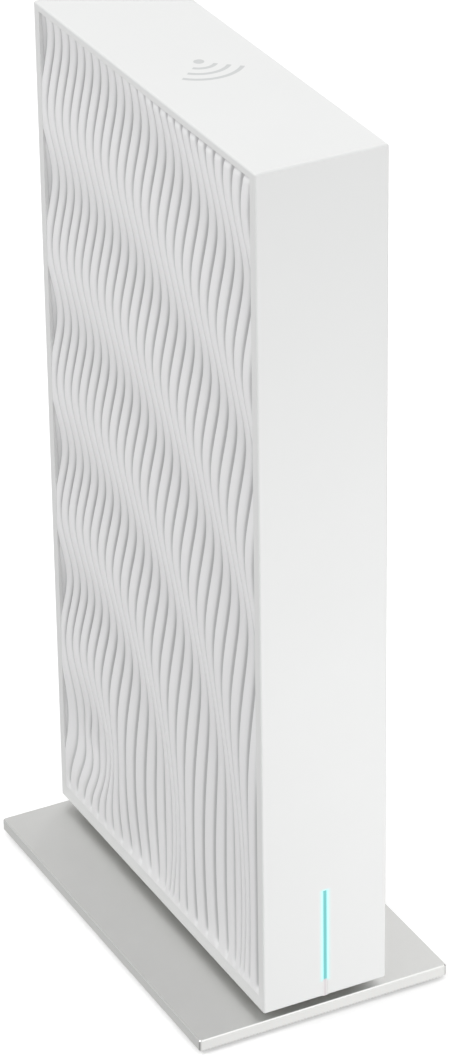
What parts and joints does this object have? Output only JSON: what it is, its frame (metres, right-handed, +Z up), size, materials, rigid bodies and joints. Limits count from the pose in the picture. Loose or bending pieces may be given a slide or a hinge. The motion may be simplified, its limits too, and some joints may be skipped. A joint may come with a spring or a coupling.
{
  "type": "wireless router",
  "caption": "Tall narrow white desktop wireless router with rippled wave side panels and a front light bar, upright on a flat satin aluminium stand plate.",
  "frame": {"origin": "on the floor under the middle of the stand plate, at the feet's underside", "axes": "+Z up, -Y the front with the light bar, +X the router's left-hand side seen from behind"},
  "size_m": [0.066, 0.1094, 0.2212],
  "materials": {
    "white_shell": "fine satin moulded plastic",
    "white_wave": "fine satin moulded plastic, ribbed",
    "satin_aluminium": "bead-blasted and anodised, with a polished chamfer",
    "heat_sink_aluminium": "extruded, clear anodised",
    "dark_neck": "moulded",
    "black_rubber": "moulded",
    "grey_nylon": "moulded",
    "board_green": "solder mask over glass fibre",
    "chip_black": "moulded package",
    "pad_grey": "soft gap filler",
    "tinned_steel": "tin plated",
    "gold_contact": "gold flashed",
    "socket_black": "moulded",
    "socket_blue": "moulded",
    "button_grey": "moulded",
    "light_milky": "milky light guide",
    "led_yellow": "LED package",
    "coax_grey": "jacketed lead",
    "ribbon_white": "flat flexible cable"
  },
  "bodies": {
    "root": {"casing_sleeve": "white_shell", "wave_panel_left": "white_wave", "wave_panel_right": "white_wave", "rear_cover": "white_shell", "inner_chassis": "grey_nylon", "main_board": "board_green", "heat_sink": "heat_sink_aluminium", "thermal_pad": "pad_grey", "soc_chip": "chip_black", "memory_chip": "chip_black", "flash_chip": "chip_black", "switch_chip": "chip_black", "line_transformer_1": "chip_black", "line_transformer_2": "chip_black", "shield_can_upper": "tinned_steel", "shield_can_lower": "tinned_steel", "board_screw_1": "tinned_steel", "board_screw_2": "tinned_steel", "board_screw_3": "tinned_steel", "board_screw_4": "tinned_steel", "wan_jack": "socket_blue", "wan_contacts": "gold_contact", "lan_1_jack": "socket_black", "lan_1_contacts": "gold_contact", "lan_2_jack": "socket_black", "lan_2_contacts": "gold_contact", "lan_3_jack": "socket_black", "lan_3_contacts": "gold_contact", "power_inlet": "socket_black", "power_inlet_pin": "tinned_steel", "power_switch": "socket_black", "pairing_switch": "socket_black", "reset_switch": "socket_black", "light_bar": "light_milky", "light_baffle": "socket_black", "light_board": "board_green", "light_led_1": "led_yellow", "light_led_2": "led_yellow", "light_led_3": "led_yellow", "light_ribbon": "ribbon_white", "antenna_top_front": "board_green", "antenna_top_rear": "board_green", "antenna_front_upper": "board_green", "antenna_front_lower": "board_green", "antenna_lead_top_front": "coax_grey", "antenna_lead_top_rear": "coax_grey", "antenna_lead_front_upper": "coax_grey", "antenna_lead_front_lower": "coax_grey", "stand_neck": "dark_neck", "stand_plate": "satin_aluminium", "rubber_foot_1": "black_rubber", "rubber_foot_2": "black_rubber", "rubber_foot_3": "black_rubber", "rubber_foot_4": "black_rubber", "stand_screw_1": "tinned_steel", "stand_screw_2": "tinned_steel"},
    "power_button": {"power_button": "button_grey"},
    "pairing_button": {"pairing_button": "button_grey"},
    "reset_button": {"reset_button": "socket_black"}
  },
  "joints": [
    {"name": "power_button_press", "type": "slide", "parent": "root", "child": "power_button", "axis": [0, -1, 0], "range_m": [0, 0.0016], "stiffness_N_per_m": 1200},
    {"name": "pairing_button_press", "type": "slide", "parent": "root", "child": "pairing_button", "axis": [0, -1, 0], "range_m": [0, 0.0008], "stiffness_N_per_m": 1500},
    {"name": "reset_button_press", "type": "slide", "parent": "root", "child": "reset_button", "axis": [0, -1, 0], "range_m": [0, 0.0005], "stiffness_N_per_m": 2000}
  ]
}
